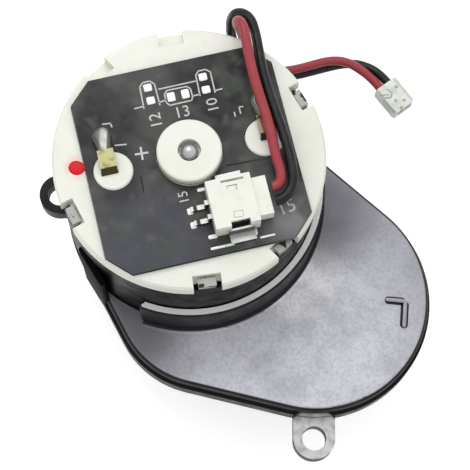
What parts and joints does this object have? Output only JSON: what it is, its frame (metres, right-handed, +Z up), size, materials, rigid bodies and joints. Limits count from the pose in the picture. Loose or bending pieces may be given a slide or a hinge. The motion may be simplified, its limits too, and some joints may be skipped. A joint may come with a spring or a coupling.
{
  "type": "robot vacuum side brush motor",
  "caption": "Small direct-current motor standing in the collar of a flat two-stage gear case, with a square brush post under it and a two-wire lead.",
  "frame": {"origin": "midway between the two ear holes, at the height where the gear case and its cover meet, 0.4 mm above the ears' seat", "axes": "+Z up along the ear holes and the motor, away from the brush; +X from the ear beside the motor to the ear beside the brush post"},
  "size_m": [0.0507, 0.0516, 0.0404],
  "materials": {
    "case_metal": "matt, speckled",
    "cover_black": "fine matt",
    "screw_steel": "zinc plated",
    "gear_nylon": "satin",
    "gear_brass": "machined",
    "shaft_steel": "ground",
    "bush_bronze": "sintered",
    "seal_felt": "felt",
    "can_steel": "dark, drawn",
    "magnet_ferrite": "matt",
    "core_steel": "stacked sheet",
    "coil_copper": "enamelled",
    "bar_copper": "turned",
    "bell_white": "satin",
    "terminal_brass": "stamped",
    "brush_carbon": "dull",
    "solder_tin": "soft sheen",
    "board_black": "solder mask",
    "header_white": "satin",
    "wire_red": "soft gloss",
    "wire_black": "soft gloss"
  },
  "bodies": {
    "housing": {"gear_case": "case_metal", "gear_cover": "cover_black", "cover_screws": "screw_steel", "motor_screws": "screw_steel", "intermediate_axle": "shaft_steel", "output_bush": "bush_bronze", "upper_bush": "bush_bronze", "output_seal": "seal_felt", "motor_can": "can_steel", "front_bearing": "bush_bronze", "rear_bearing": "bush_bronze", "magnet_1": "magnet_ferrite", "magnet_2": "magnet_ferrite", "magnet_clip": "shaft_steel", "end_bell": "bell_white", "terminal_1": "terminal_brass", "terminal_2": "terminal_brass", "brush_arm_1": "terminal_brass", "brush_arm_2": "terminal_brass", "brush_1": "brush_carbon", "brush_2": "brush_carbon", "solder_joint_1": "solder_tin", "solder_joint_2": "solder_tin", "circuit_board": "board_black", "socket_header": "header_white", "header_pin_1": "solder_tin", "header_pin_2": "solder_tin", "header_tab_1": "solder_tin", "header_tab_2": "solder_tin", "wire_plug": "header_white", "red_wire": "wire_red", "black_wire": "wire_black", "end_plug": "header_white", "end_contact_1": "solder_tin", "end_contact_2": "solder_tin"},
    "rotor": {"motor_shaft": "shaft_steel", "motor_pinion": "gear_brass", "armature_core": "core_steel", "coil_1": "coil_copper", "coil_2": "coil_copper", "coil_3": "coil_copper", "commutator_bar_1": "bar_copper", "commutator_bar_2": "bar_copper", "commutator_bar_3": "bar_copper", "commutator_hub": "brush_carbon", "front_spacer": "gear_nylon", "front_washer": "screw_steel", "rear_washer": "screw_steel"},
    "intermediate": {"intermediate_gear": "gear_nylon"},
    "output": {"output_gear": "gear_nylon", "output_shaft": "shaft_steel", "output_washer": "screw_steel"}
  },
  "joints": [
    {"name": "rotor_spin", "type": "hinge", "parent": "housing", "child": "rotor", "pos_m": [-0.00943, 0.01067, 0], "axis": [0, 0, 1], "continuous": true},
    {"name": "intermediate_spin", "type": "hinge", "parent": "housing", "child": "intermediate", "pos_m": [0.00076, 0.0036, 0], "axis": [0, 0, 1], "continuous": true},
    {"name": "output_spin", "type": "hinge", "parent": "housing", "child": "output", "pos_m": [0.01054, 0.01253, 0], "axis": [0, 0, 1], "continuous": true}
  ],
  "couplings": [
    {"joint": "intermediate_spin", "follows": "rotor_spin", "ratio": -0.29167},
    {"joint": "output_spin", "follows": "rotor_spin", "ratio": 0.067829}
  ]
}
